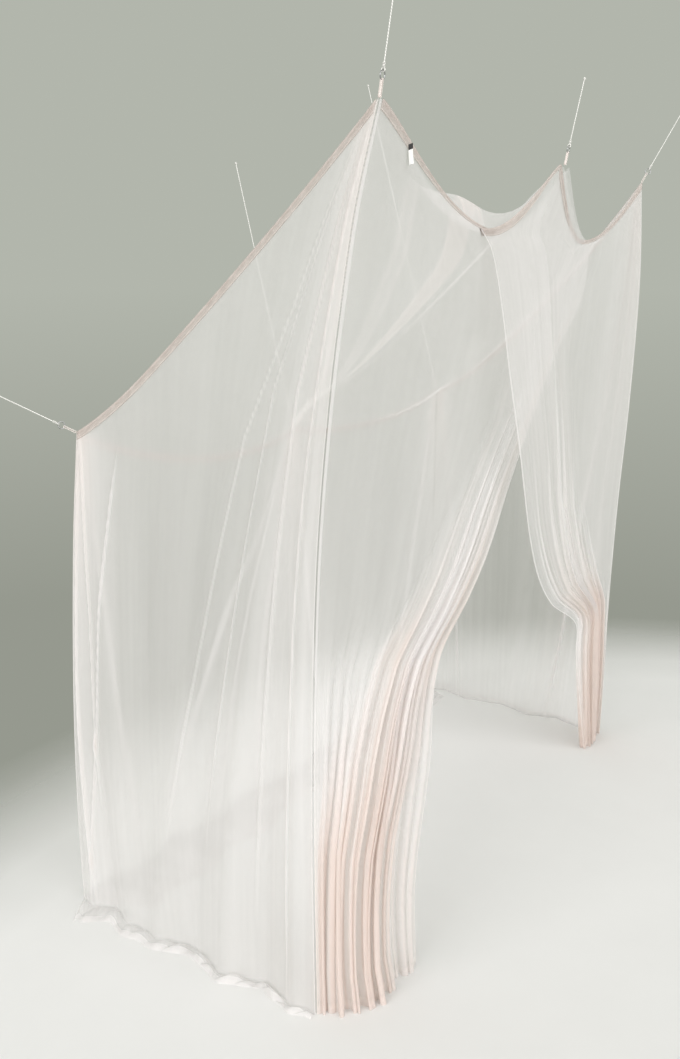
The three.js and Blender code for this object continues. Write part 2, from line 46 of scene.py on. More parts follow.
TURN = 2 * math.pi
MIDDLE = np.array([0.0, -0.025, 0.0])
CLOTH = 0.0016
SEAM_INSET = 0.003
GAP = 0.0005
ROOF = dict(below=0.004, inset=0.0022, inset_right=0.0029, cut=(1.36, 2.30), grid=(190, 210),
            seam=(0.004, 0.002))
TAPE = dict(width=0.020, thickness=0.0016, clear=0.0011, end_gap=0.007, below=0.003, rows=160)
TAPE_PROFILE = [  # down the tape and out from the cloth, in shares of its width and thickness
    (0.0, 0.0), (0.0, 1.0), (0.12, 1.15), (0.5, 0.8), (0.88, 1.12), (1.0, 0.95), (1.0, 0.05),
    (0.5, 0.1)]
FLAP_STEP = CLOTH + GAP + 0.0003
STEP_RUN = 0.08
LOOP = dict(length=0.042, outer_width=0.0064, wall=0.0013, width=0.007, slack=0.0009, waist=0.18)
RING = dict(radius=0.0105, wire=0.00125, segments=(64, 14), weld=0.00018, weld_half=0.11)
LOOP_PROFILE = [  # across the tape and out from its middle line, in shares of half its size
    (-1, 0.6), (-0.92, 1), (0, 0.86), (0.92, 1), (1, 0.6), (1, -0.6), (0.92, -1), (0, -0.86),
    (-0.92, -1), (-1, -0.6)]
LOOP_WEAVE = [0.0175, 0.0165, 0.010, 0.0035, 0.0025]  # tape pattern places over half of it
TIE = dict(radius=0.0044, cord=0.0015)
WRAP = dict(radius=0.0026, cord=0.0011, turns=3.5, rise=0.00048, below=0.001)
CORD_RADIUS = 0.0015
ROPE = dict(strands=3, lay=0.011, row=0.0022, around=18, path=15)
KNOT = dict(radius=0.0042, length=0.009, cord=0.0012)
LABEL = dict(width=0.020, length=0.048, at=0.12, below=0.006, thickness=0.0006, curl=0.004,
             band=0.013)

# How many layers of net a seam, a hem or a crease seems to add, and how wide each seam is.
SEAM = dict(wall=0.0045, flap=0.008, hem=0.022)
MORE_COVER = dict(wall=1.6, flap=1.5, hem=1.2, metre_of_crease=170)
NET = dict(cells_per_metre=620, density=0.48, through=0.48)
TAPE_THROUGH = 0.40
STITCH = dict(per_metre=330, length=0.62, low=0.0025, high=0.0175, half=0.0005)
RIB_SCALE = dict(tape=190, cord=95, label=700)

COLOURS = dict(
    # The gathered net's colour is the warmer tint of stacked layers, darkened as painted shade of
    # the deep bundle.
    net=(0.885, 0.865, 0.862), gathered_net_and_shade=(0.850, 0.770, 0.730),
    cotton_shade=(0.600, 0.530, 0.490), cotton=(0.740, 0.675, 0.640), thread=(0.900, 0.850, 0.800),
    cord_groove=(0.50, 0.49, 0.46), cord=(0.80, 0.79, 0.76),
    steel_dark=(0.22, 0.22, 0.22), steel=(0.52, 0.52, 0.53),
    satin_shade=(0.82, 0.82, 0.80), satin=(0.93, 0.92, 0.90), dark_band=(0.030, 0.028, 0.030),
    floor_shade=(0.735, 0.73, 0.725), floor=(0.775, 0.77, 0.765),
)

# Where the net hangs: the place, the way its cord pulls, the cord's length from ring to far knot,
# and how far along the pull the foot of its tape loop is sewn.
HANGINGS = dict(
    foot_left=dict(at=(-0.550, -1.000, 1.490), pull=(-0.78, -0.42, 0.42), reach=0.235,
                   seat=-0.0026),
    foot_right=dict(at=(0.510, -1.080, 2.324), pull=(0.12, 0.06, 0.98), reach=0.182, seat=-0.0029),
    middle_left=dict(at=(-0.480, 0.070, 1.398), pull=(-0.21, -0.05, 0.97), reach=0.905,
                     seat=0.0005),
    middle_right=dict(at=(0.530, 0.110, 2.286), pull=(0.16, 0.10, 0.97), reach=0.190, seat=0.0005),
    head_left=dict(at=(-0.400, 1.150, 1.463), pull=(-0.24, -0.05, 0.96), reach=1.290, seat=-0.0026),
    head_right=dict(at=(0.500, 1.100, 2.316), pull=(0.40, 0.24, 0.86), reach=0.330, seat=-0.0026),
)

# Top edges: ends, drop below a straight line, place and sharpness of the lowest point, pull inward.
TOP_EDGES = dict(
    foot=("foot_left", "foot_right", 0.040, 0.28, 0.9, (0, 0.008)),
    left_foot=("foot_left", "middle_left", 0.088, 0.5, 0.9, (0.040, 0)),
    left_head=("middle_left", "head_left", 0.054, 0.5, 0.9, (0.030, 0)),
    right_foot=("foot_right", "middle_right", 0.232, 0.55, 1.3, (-0.040, 0)),
    right_head=("middle_right", "head_right", 0.228, 0.42, 1.15, (-0.026, 0)),
    head=("head_left", "head_right", 0.100, 0.4, 0.9, (0, -0.030)),
)

# Upright lines from top to floor, as rows of height, x and y: corner seams and free flap edges.
UPRIGHTS = dict(
    foot_left=[
        (1.490, -0.550, -1.000), (1.140, -0.562, -1.028), (0.650, -0.572, -1.052),
        (0.300, -0.570, -1.062), (0.000, -0.556, -1.070)],
    foot_right=[
        (2.324, 0.510, -1.080), (2.090, 0.462, -1.102), (1.886, 0.432, -1.112),
        (1.630, 0.402, -1.122), (1.270, 0.378, -1.138), (0.900, 0.372, -1.152),
        (0.500, 0.376, -1.165), (0.000, 0.392, -1.180)],
    head_left=[(1.463, -0.400, 1.150), (0.800, -0.412, 1.165), (0.000, -0.430, 1.175)],
    head_right=[
        (2.316, 0.500, 1.100), (1.940, 0.514, 1.106), (1.458, 0.502, 1.104),
        (1.040, 0.480, 1.098), (0.730, 0.470, 1.092), (0.370, 0.462, 1.085),
        (0.000, 0.440, 1.075)],
    foot_flap_edge=[
        (2.060, 0.470, 0.525), (1.866, 0.456, 0.510), (1.701, 0.446, 0.325),
        (1.476, 0.440, 0.118), (1.276, 0.442, -0.065), (1.103, 0.462, -0.262),
        (1.009, 0.480, -0.435), (0.900, 0.508, -0.696), (0.584, 0.518, -0.768),
        (0.275, 0.520, -0.848), (0.000, 0.520, -0.836)],
    head_flap_edge=[
        (2.070, 0.464, -0.400), (2.014, 0.484, -0.364), (1.870, 0.508, -0.340),
        (1.651, 0.533, -0.312), (1.443, 0.544, -0.247), (1.040, 0.538, -0.060),
        (0.820, 0.512, 0.200), (0.640, 0.490, 0.565), (0.500, 0.482, 0.615),
        (0.300, 0.476, 0.700), (0.000, 0.462, 0.850)],
)

# Soft folds as (place on the top edge, place on the hem, depth, width), in shares and metres.
FOOT_WALL_FOLDS = [
    (1.0, 0.93, 0.016, 0.03), (1.0, 0.8, -0.022, 0.04), (1.0, 0.66, 0.026, 0.05),
    (0.98, 0.5, -0.020, 0.05), (0.9, 0.36, 0.018, 0.05), (0.0, 0.05, 0.018, 0.03),
    (0.0, 0.14, -0.020, 0.04), (0.02, 0.24, 0.016, 0.045),
]
LEFT_WALL_FOLDS = [
    (0.0, 0.05, 0.016, 0.025), (0.0, 0.13, -0.020, 0.03), (0.49, 0.2, 0.030, 0.03),
    (0.5, 0.29, -0.026, 0.03), (0.5, 0.38, 0.026, 0.035), (0.51, 0.5, -0.024, 0.035),
    (0.52, 0.6, 0.024, 0.035), (0.98, 0.72, -0.020, 0.035), (1.0, 0.83, 0.022, 0.035),
    (1.0, 0.93, -0.010, 0.035),
]
HEAD_WALL_FOLDS = [
    (0.0, 0.1, 0.018, 0.04), (0.03, 0.25, -0.020, 0.05), (0.97, 0.45, 0.020, 0.055),
    (0.99, 0.62, -0.022, 0.05), (1.0, 0.78, 0.022, 0.045), (1.0, 0.91, -0.014, 0.035),
]

# How the roof rises beside its right rim, on the foot half and on the head half.
ROOF_RIM_LIFT = dict(foot_half=0.130, head_half=0.045, across=0.935, width=0.04)

# Soft creases of the roof: along and across at one end, the same at the other, height, width.
ROOF_CREASES = [
    (0.5, 0.03, 0.0, 0.97, 0.026, 0.07), (0.5, 0.03, 0.27, 0.97, 0.034, 0.06),
    (0.5, 0.03, 0.52, 0.97, 0.024, 0.07), (0.97, 0.03, 0.55, 0.97, 0.024, 0.07),
]

# Where the roof's cloth is folded double: ends as above, half width, cover at its rim and within.
ROOF_BANDS = [
    (0.5, 0.0, 0.275, 1.0, 0.024, 4.0, 1.9), (0.5, 0.0, 0.0, 1.0, 0.0, 3.0, 0.0),
    (0.5, 0.0, 0.50, 1.0, 0.0, 1.6, 0.0), (0.5, 0.0, 0.12, 1.0, 0.012, 1.4, 0.5),
    (1.0, 0.0, 0.70, 1.0, 0.010, 1.6, 0.5),
]

# Narrow pinched creases of each plain wall: points of (share across, share of the fall) from top
# to bottom, then how wide and how high the pinch stands.
FOOT_WALL_PINCHES = [
    ([(0.010, 0.0), (0.030, 0.5), (0.075, 1.0)], 0.008, 0.010),
    ([(0.012, 0.0), (0.075, 0.4), (0.110, 0.8)], 0.006, 0.008),
    ([(0.165, 0.10), (0.115, 0.5), (0.055, 1.0)], 0.006, 0.009),
    ([(0.992, 0.0), (0.940, 0.35), (0.900, 1.0)], 0.006, 0.008),
    ([(0.990, 0.0), (0.880, 0.25), (0.780, 0.9)], 0.007, 0.006),
    ([(0.985, 0.0), (0.780, 0.22), (0.590, 0.8)], 0.006, 0.006),
    ([(0.980, 0.0), (0.690, 0.25), (0.440, 0.8)], 0.007, 0.005),
]
LEFT_WALL_PINCHES = [
    ([(0.500, 0.0), (0.390, 0.4), (0.280, 1.0)], 0.009, 0.012),
    ([(0.500, 0.0), (0.340, 0.4), (0.180, 1.0)], 0.010, 0.012),
    ([(0.498, 0.0), (0.440, 0.5), (0.400, 1.0)], 0.007, 0.010),
    ([(0.505, 0.0), (0.560, 0.4), (0.620, 1.0)], 0.008, 0.010),
    ([(0.502, 0.0), (0.500, 0.5), (0.510, 1.0)], 0.008, 0.008),
    ([(0.010, 0.0), (0.060, 0.4), (0.120, 1.0)], 0.008, 0.010),
    ([(0.990, 0.0), (0.930, 0.4), (0.860, 1.0)], 0.008, 0.010),
]
HEAD_WALL_PINCHES = [
    ([(0.020, 0.0), (0.12, 0.5), (0.20, 1.0)], 0.008, 0.010),
    ([(0.985, 0.0), (0.84, 0.5), (0.72, 1.0)], 0.008, 0.010),
    ([(0.990, 0.0), (0.93, 0.5), (0.90, 1.0)], 0.008, 0.008),
]

# Plain walls: hung edges, corner seams, the way out, the way the start and end of the hem lie on
# the floor, how much cloth lies there, and how it is rucked. rows are the solid's, in the fall and
# on the floor, and grid is the finished sheet's: across, down the fall and on the floor.
WALLS = dict(
    foot_wall=dict(
        edges=["foot"], start="foot_left", end="foot_right", out=(0, -1), way=(0.5, -0.86),
        way_end=(0, -0.86), lie=(0.150, 0.030), power=0.3, taper=0.0, billow=0.010, crumple=0.018,
        folds=FOOT_WALL_FOLDS, pinches=FOOT_WALL_PINCHES, rows=(9, 3), cut=1.50,
        fan=0.85, grid=(300, 150, 46), seed=3),
    left_wall=dict(
        edges=["left_foot", "left_head"], start="foot_left", end="head_left", out=(-1, 0),
        way=(1, 0), way_end=(0.5, 0), lie=(0.230, 0.250), power=1, taper=0.060, billow=0.012,
        crumple=0.018, folds=LEFT_WALL_FOLDS, pinches=LEFT_WALL_PINCHES, rows=(9, 3), cut=2.45,
        fan=0.8, grid=(360, 120, 40), seed=5),
    head_wall=dict(
        edges=["head"], start="head_left", end="head_right", out=(0, 1), way=(0, 1),
        way_end=(0, 1), lie=(0.090, 0.024), power=1, taper=0.0, billow=0.008, crumple=0.018,
        folds=HEAD_WALL_FOLDS, pinches=HEAD_WALL_PINCHES, rows=(9, 2), cut=1.40,
        fan=0.85, grid=(240, 120, 26), seed=7),
)

# The thick of the gathered cloth down each flap: share of the fall, its middle and half width in
# shares of the chord, and the share of the cloth that is in it.
FOOT_BUNDLE = [
    (0.0, 0.74, 0.40, 0.15), (0.06, 0.80, 0.26, 0.38), (0.14, 0.85, 0.20, 0.48),
    (0.28, 0.86, 0.18, 0.52), (0.38, 0.82, 0.22, 0.52), (0.48, 0.77, 0.27, 0.52),
    (0.58, 0.68, 0.34, 0.52), (0.68, 0.52, 0.42, 0.50), (0.80, 0.34, 0.38, 0.50),
    (0.95, 0.28, 0.36, 0.50), (1.0, 0.30, 0.38, 0.45),
]
HEAD_BUNDLE = [
    (0.0, 0.25, 0.40, 0.15), (0.08, 0.20, 0.22, 0.38), (0.22, 0.22, 0.22, 0.50),
    (0.45, 0.26, 0.26, 0.56), (0.62, 0.38, 0.34, 0.60), (0.75, 0.50, 0.30, 0.55),
    (1.0, 0.50, 0.45, 0.35),
]

# Gathered flaps of the right side. place is along the right top edge: 0 is the foot corner, 1 the
# middle hanging and 2 the head corner. rows are the solid's, so that the binding fits over it.
FLAPS = dict(
    foot_flap=dict(
        place=(0, 1.42), start="foot_right", end="foot_flap_edge", outside=0.0, belly=0.062,
        cut=1.75, waves=24, rows=15, bundle=FOOT_BUNDLE, grid=(640, 140), seed=11),
    head_flap=dict(
        place=(0.54, 2), start="head_flap_edge", end="head_right", outside=FLAP_STEP, belly=0.0,
        cut=1.75, waves=22, rows=13, bundle=HEAD_BUNDLE, grid=(620, 130), seed=13),
)

# ---------------- the studio

CAMERA = dict(lens=36.65, at=(1.743, -3.362, 1.900), down=12.52, turn=30.627, clip_end=60)

# Heights from 0 straight down to 1 straight up, and the backdrop's colour there.
# The backdrop is darker below the horizon: painted shade of a wall lit from above and shaded low
# down.
BACKDROP = [(0.365, (0.305, 0.319, 0.275)), (0.50, (0.447, 0.468, 0.413))]

# The side that each light shines from, its strength, its spread in degrees and its colour.
SUNS = dict(
    soft_front=((-0.10, -1.0, 0.36), 2.15, 44, (1.0, 0.985, 1.0)),
    soft_side=((1.0, -0.30, 0.30), 2.40, 60, (1.0, 0.985, 1.01)),
    soft_top=((-0.2, 0.1, 1.0), 0.5, 70, (1.0, 0.99, 1.0)),
)
FLOOR = dict(reach=4.2, squareness=3, centre=(2.55, -1.35), stretch=(0.95, 1.1), turn=8,
             below=0.0006, sides=96)
FLOOR_FADE = [(0.0, 1), (0.3, 1), (0.6, 1), (0.78, 1), (0.84, 0.86), (0.90, 0.5), (0.96, 0.14),
              (1.0, 0.0)]
CLEAR_LAYERS = 48


def new_object(name, data):
    made = bpy.data.objects.new(name, data)
    bpy.context.scene.collection.objects.link(made)
    return made


def place_camera():
    data = bpy.data.cameras.new("camera")
    data.lens = CAMERA["lens"]
    data.clip_end = CAMERA["clip_end"]
    camera = new_object("camera", data)
    camera.location = CAMERA["at"]
    camera.rotation_euler = (math.radians(90 - CAMERA["down"]), 0, math.radians(CAMERA["turn"]))
    bpy.context.scene.camera = camera


def shine_soft(name, toward, strength, spread, colour):
    """A broad even light that comes from one side, as through a large diffuser."""
    data = bpy.data.lights.new(name, "SUN")
    data.energy = strength
    data.angle = math.radians(spread)
    data.color = colour
    lamp = new_object(name, data)
    lamp.location = Vector(toward) * 4
    lamp.rotation_euler = Vector(toward).to_track_quat("Z", "Y").to_euler()


# ---------------- finishes

class Finish:
    """A material or world under construction: nodes are added with what their sockets take."""

    def __init__(self, owner):
        owner.use_nodes = True
        self.owner = owner
        self.tree = owner.node_tree

    def node(self, kind, sockets=(), **settings):
        """Adds a node. Each of its sockets takes a number, a colour or another node's socket."""
        made = self.tree.nodes.new("ShaderNode" + kind)
        for key, value in settings.items():
            setattr(made, key, value)
        for socket, source in dict(sockets).items():
            if isinstance(source, bpy.types.NodeSocket):
                self.tree.links.new(source, made.inputs[socket])
            else:
                made.inputs[socket].default_value = source
        return made

    def maths(self, what, *values, clamp=False):
        sockets = enumerate(values)
        return self.node("Math", sockets, operation=what, use_clamp=clamp).outputs[0]

    def spread(self, value, low, high, to_low, to_high):
        sockets = {"Value": value, "From Min": low, "From Max": high, "To Min": to_low,
                   "To Max": to_high}
        return self.node("MapRange", sockets).outputs["Result"]

    def noise(self, vector, scale, detail, rough, stretch=None, flat=False):
        if stretch is not None:
            vector = self.node("Mapping", dict(Scale=stretch, Vector=vector)).outputs["Vector"]
        sockets = dict(Scale=scale, Detail=detail, Roughness=rough, Vector=vector)
        made = self.node("TexNoise", sockets, noise_dimensions="2D" if flat else "3D")
        return made.outputs["Fac"]

    def bands(self, vector, scale, direction="DIAGONAL", distortion=0.0):
        sockets = dict(Scale=scale, Distortion=distortion, Vector=vector)
        made = self.node("TexWave", sockets, wave_type="BANDS", bands_direction=direction)
        return made.outputs["Fac"]

    def cloth(self):
        """Places on the flat cloth, in metres."""
        return self.node("UVMap", uv_map="cloth").outputs["UV"]

    def share(self, name):
        return self.node("Attribute", attribute_name=name).outputs["Fac"]

    def split(self, vector):
        return self.node("SeparateXYZ", dict(Vector=vector)).outputs

    def blend(self, share, a, b):
        """From one colour to another; each is a name in COLOURS or a socket."""
        a, b = ((*COLOURS[x], 1) if isinstance(x, str) else x for x in (a, b))
        return self.node("Mix", {0: share, 6: a, 7: b}, data_type="RGBA").outputs[2]

    def bump(self, height, strength, distance):
        sockets = dict(Height=height, Strength=strength, Distance=distance)
        return self.node("Bump", sockets).outputs["Normal"]

    def surface(self, colour, roughness, **others):
        """The main shader. Its sockets are named as on the node, with _ for a space."""
        others.update(Base_Color=colour, Roughness=roughness)
        sockets = {name.replace("_", " "): value for name, value in others.items()}
        return self.node("BsdfPrincipled", sockets).outputs["BSDF"]

    def layered(self, share, under, over):
        return self.node("MixShader", enumerate((share, under, over))).outputs["Shader"]

    def lit_through(self, colour, share, front):
        """The front shader, with some of the light let through from behind."""
        behind = self.node("BsdfTranslucent", dict(Color=colour)).outputs["BSDF"]
        return self.layered(share, front, behind)

    def seen_by(self, share, shader):
        """The shader where share is 1, and nothing where it is 0."""
        return self.layered(share, self.node("BsdfTransparent").outputs["BSDF"], shader)

    def done(self, shader):
        self.node("OutputMaterial", dict(Surface=shader))
        return self.owner


def new_finish(name):
    made = Finish(bpy.data.materials.new(name))
    made.tree.nodes.clear()
    return made


def paint_world():
    world = bpy.data.worlds.new("studio")
    bpy.context.scene.world = world
    f = Finish(world)
    height = f.spread(f.split(f.node("TexCoord").outputs["Generated"])["Z"], -1, 1, 0, 1)
    # The ramp paints shade on the backdrop: darker below the horizon.
    ramp = f.node("ValToRGB", dict(Fac=height))
    for stop, (place, colour) in zip(ramp.color_ramp.elements, BACKDROP):
        stop.position = place
        stop.color = (*colour, 1)
    f.tree.links.new(ramp.outputs["Color"], f.tree.nodes["Background"].inputs["Color"])


def net_finish():
    """Sheer net: knitted holes and soft streaks; where gathered, denser and pinker with painted
    shade.
    """
    f = new_finish("sheer_net")
    cloth = f.cloth()
    soft = f.spread(f.noise(cloth, 1.0, 3.0, 0.6, (7, 0.4, 1), flat=True), 0.3, 0.7, 0.87, 1.13)
    holes = f.node("TexVoronoi", dict(Vector=cloth, Scale=NET["cells_per_metre"]),
                   feature="DISTANCE_TO_EDGE", voronoi_dimensions="2D")
    from_thread = holes.outputs["Distance"]
    threads = f.spread(from_thread, 0.0, 0.5, 1.22, 0.86)
    thick = f.maths("MULTIPLY", f.maths("MULTIPLY", f.share("cover"), soft), threads)
    passed = f.maths("EXPONENT", f.maths("MULTIPLY", thick, -NET["density"]))
    seen = f.maths("SUBTRACT", 1.0, passed, clamp=True)
    # Towards the gathered colour where the net crowds: the tint of stacked layers, with painted
    # shade.
    colour = f.blend(f.spread(f.share("crowd"), 1.3, 5.0, 0.0, 1.0), "net", "gathered_net_and_shade")
    body = f.surface(colour, 0.82, Normal=f.bump(from_thread, 0.25, 0.0004),
                     Specular_IOR_Level=0.25, Sheen_Weight=0.35, Sheen_Roughness=0.45)
    return f.done(f.seen_by(seen, f.lit_through(colour, NET["through"], body)))


def tape_finish(name, sheer):
    """Cotton tape: twill ribs, and a line of stitches near each edge.
    As a binding it is thin, and lets light through."""
    f = new_finish(name)
    strip = f.cloth()
    run, rise, _ = f.split(strip)
    ribs = f.bands(strip, RIB_SCALE["tape"], distortion=0.6)
    step = f.maths("FRACT", f.maths("MULTIPLY", run, STITCH["per_metre"]))
    stitch = f.maths("LESS_THAN", step, STITCH["length"])
    rows = [f.maths("COMPARE", rise, STITCH[row], STITCH["half"]) for row in ("low", "high")]
    thread = f.maths("MULTIPLY", stitch, f.maths("ADD", *rows, clamp=True))
    patch = f.spread(f.noise(strip, 1.0, 3.0, 0.6, (30, 90, 1)), 0.3, 0.7, 0.0, 1.0)
    colour = f.blend(thread, f.blend(patch, "cotton_shade", "cotton"), "thread")
    relief = f.maths("ADD", f.maths("MULTIPLY", ribs, 0.5), thread)
    body = f.surface(colour, 0.88, Normal=f.bump(relief, 0.35, 0.0006), Specular_IOR_Level=0.2,
                     Sheen_Weight=0.2)
    if not sheer:
        return f.done(body)
    rim = f.spread(rise, 0.004, 0.009, 0.88, 0.50)
    shown = f.maths("MAXIMUM", rim, f.maths("MULTIPLY", thread, 0.9))
    return f.done(f.seen_by(shown, f.lit_through(colour, TAPE_THROUGH, body)))


def cord_finish():
    """Twisted white cord: strands wind round it, greyer in the grooves between them."""
    f = new_finish("twisted_cord")
    twist = f.bands(f.cloth(), RIB_SCALE["cord"], distortion=0.4)
    # Greyer where the bump is low, in the grooves between the strands.
    colour = f.blend(f.spread(twist, 0.1, 0.6, 0.0, 1.0), "cord_groove", "cord")
    return f.done(f.surface(colour, 0.7, Normal=f.bump(twist, 0.6, 0.0006), Sheen_Weight=0.15))


def steel_finish():
    """Drawn steel wire: fine scratches, rougher and brighter in patches."""
    f = new_finish("drawn_steel")
    place = f.node("TexCoord").outputs["Object"]
    patch = f.noise(place, 260.0, 4.0, 0.6)
    scratch = f.noise(place, 1.0, 2.0, 0.5, (900, 900, 120))
    worn = f.spread(patch, 0.3, 0.7, 0.24, 0.42)
    colour = f.blend(patch, "steel_dark", "steel")
    return f.done(f.surface(colour, worn, Normal=f.bump(scratch, 0.12, 0.0002), Metallic=1.0))


def label_finish():
    """Woven satin label: bare white with a plain dark band along its top fold."""
    f = new_finish("woven_label")
    weave = f.cloth()
    threads = f.bands(weave, RIB_SCALE["label"], "Y")
    band = f.maths("LESS_THAN", f.split(weave)[1], LABEL["band"])
    colour = f.blend(band, f.blend(threads, "satin_shade", "satin"), "dark_band")
    return f.done(f.surface(colour, 0.45, Normal=f.bump(threads, 0.2, 0.0002)))


def floor_finish():
    """Pale matt studio floor that fades out at its rim."""
    f = new_finish("pale_floor")
    grain = f.noise(f.node("TexCoord").outputs["Object"], 3.0, 4.0, 0.6)
    body = f.surface(f.blend(grain, "floor_shade", "floor"), 0.9, Specular_IOR_Level=0.1)
    return f.done(f.seen_by(f.share("fade"), body))


# ---------------- curves of the hang

def clamp01(t):
    return np.clip(t, 0.0, 1.0)


def ease(t):
    """A smooth step from 0 to 1 while t goes from 0 to 1."""
    t = clamp01(t)
    return t * t * (3 - 2 * t)


def mix(a, b, t):
    return a + (b - a) * t


def off_rims(t, steep):
    """1 well inside 0..1, and falling to 0 at both its ends."""
    return ease(t * steep) * ease((1 - t) * steep)


def hump(off):
    return np.exp(-off ** 2)


def length_of(v):
    return np.linalg.norm(v, axis=-1)


def unit(v):
    return v / length_of(v)[..., None]


def top_edge(name, t):
    """Points of one hung edge: it sags below a straight line and is pulled inward."""
    start, end, sag, low_at, point, inward = TOP_EDGES[name]
    a, b = np.array(HANGINGS[start]["at"]), np.array(HANGINGS[end]["at"])
    skewed = np.where(t < low_at, t / low_at / 2, 1 - (1 - t) / (1 - low_at) / 2)
    hang = np.maximum(0.0, 4 * skewed * (1 - skewed)) ** point
    return a + (b - a) * t[..., None] + hang[..., None] * np.array([*inward, -sag])


def top_side(names, t):
    """Points of a whole side, whose edges follow each other: t is 0 to 1 on the first."""
    t = np.asarray(t, float)
    if len(names) == 1:
        return top_edge(names[0], t)
    second = top_edge(names[1], np.maximum(t - 1, 0.0))
    return np.where((t < 1)[..., None], top_edge(names[0], np.minimum(t, 1.0)), second)


def upright(name, z):
    """The plan place of an upright line at a height, on a smooth curve through its rows."""
    rows = np.array(UPRIGHTS[name])
    zs = rows[:, 0]
    last = len(zs) - 1
    z = np.clip(z, zs[-1], zs[0])
    i = np.clip(np.searchsorted(-zs, -z, side="right") - 1, 0, last - 1)
    before, after = np.maximum(0, i - 1), np.minimum(last, i + 2)
    span = zs[i] - zs[i + 1]
    t = ((zs[i] - z) / span)[..., None]
    plan = rows[:, 1:]
    pace0 = span / np.maximum(0.001, zs[before] - zs[i + 1])
    pace1 = span / np.maximum(0.001, zs[i] - zs[after])
    slope0 = (plan[i + 1] - plan[before]) * pace0[..., None]
    slope1 = (plan[after] - plan[i]) * pace1[..., None]
    t2, t3 = t * t, t * t * t
    return ((2 * t3 - 3 * t2 + 1) * plan[i] + (t3 - 2 * t2 + t) * slope0
            + (-2 * t3 + 3 * t2) * plan[i + 1] + (t3 - t2) * slope1)


def ripples(u, v, seed, coarse, fine, count=12):
    """Uneven small pleats across u that wander a little down v, about one unit high."""
    rng = np.random.default_rng(seed)
    total = np.zeros(np.broadcast(u, v).shape)
    for _ in range(count):
        waves = coarse * (fine / coarse) ** rng.random()
        phase, drift, swell, swell_phase = rng.random(4) * TURN
        height = (coarse / waves) ** 0.55
        fade = 0.6 + 0.4 * np.sin(2.4 * swell / 6 * v + 9 * u + swell_phase)
        wander = 0.5 * np.sin(drift + 4 * v)
        total += height * fade * np.sin(TURN * waves * u + phase + wander)
    return total / math.sqrt(count)


# ---------------- the cloth's surfaces

def floor_share(wall):
    """How much of a wall's cloth lies on the floor."""
    return wall["rows"][1] / sum(wall["rows"])


def edge_plan(piece, z, s):
    """Plan places on the straight line between the two upright edges of a wall or flap."""
    return mix(upright(piece["start"], z), upright(piece["end"], z), s[..., None])


def wall_surface(wall, s, v, folded=True):
    """Points of a plain wall: it falls from its binding, and its last stretch lies on the floor."""
    share = floor_share(wall)
    top = top_side(wall["edges"], s * len(wall["edges"]))
    top[..., 2] -= TAPE["below"]
    fall = clamp01(v / (1 - share))
    on_floor = clamp01((v - (1 - share)) / share)
    z = top[..., 2] * (1 - fall)
    start, end = upright(wall["start"], z), upright(wall["end"], z)
    from_top = top[..., :2] - edge_plan(wall, top[..., 2], s)
    plan = mix(start, end, s[..., None]) + from_top * ((1 - fall) ** 2)[..., None]
    out = np.array(wall["out"], float)
    shift = np.sin(math.pi * s) * wall["billow"] * np.sin(math.pi * fall)
    edge_fade = off_rims(s, 25)
    ruck_fine = 0.0
    if folded:
        for at_top, at_hem, depth, width in wall["folds"]:
            off = (s - mix(at_top, at_hem, fall ** 0.6)) / (width * mix(0.45, 1, fall))
            shift = shift + edge_fade * depth * fall ** 0.8 * hump(off)
        h = flat_place(wall, s, fall)
        small = ripples(h, v, wall["seed"], 4, 17)
        small = 0.0022 * small * ease(fall * 2.2) * (1 - 0.4 * on_floor)
        shift = shift + small * edge_fade
        for ridge, height in creases(wall, s, fall):
            shift = shift + height * ridge
        ruck_fine = 0.006 * on_floor * (1 + ripples(h, on_floor * 3, wall["seed"] + 40, 7, 26))
    plan = plan + shift[..., None] * out
    lie = mix(wall["lie"][0], wall["lie"][1], s ** wall["power"]) * on_floor
    way = mix(np.array(wall["way"], float), np.array(wall["way_end"], float), s[..., None])
    plan = plan + way * lie[..., None]
    drawn_in = SEAM_INSET + wall["taper"] * ease(on_floor)
    plan = plan + unit(end - start) * ((1 - 2 * s) * drawn_in)[..., None]
    ruck = np.abs(np.sin(s * 41 + on_floor * 2.2) * np.sin(s * 23 + 1.1))
    rim = ease(s * (1 - s) * 30)
    lift = (wall["crumple"] * ruck * rim + ruck_fine) * np.sin(math.pi * on_floor)
    height = np.maximum(z, CLOTH / 2) + lift
    return np.concatenate([plan, height[..., None]], -1) + MIDDLE


def creases(wall, s, fall):
    """Each narrow pinched crease of a wall: its share at a point, and how high it stands."""
    for line, width, height in wall["pinches"]:
        line = np.array(line)
        centre = np.interp(fall, line[:, 1], line[:, 0])
        off = (s - centre) * wall["cut"] / (width * (0.55 + 0.45 * fall))
        start = ease((fall - line[0, 1]) * 9 + 0.25)
        end = ease((line[-1, 1] - fall) * 5 + 0.2)
        yield hump(off) * start * end, height


def flat_place(wall, s, fall):
    """Where a point of a wall is on the flat cloth, in shares of its width.
    The folds fan out from the hangings."""
    fans = len(wall["edges"])
    h = s + 0 * fall
    pinch = wall["fan"] * (1 - fall ** 0.6)
    for _ in range(14):
        h = s + pinch * np.sin(TURN * fans * h) / (TURN * fans)
    return h


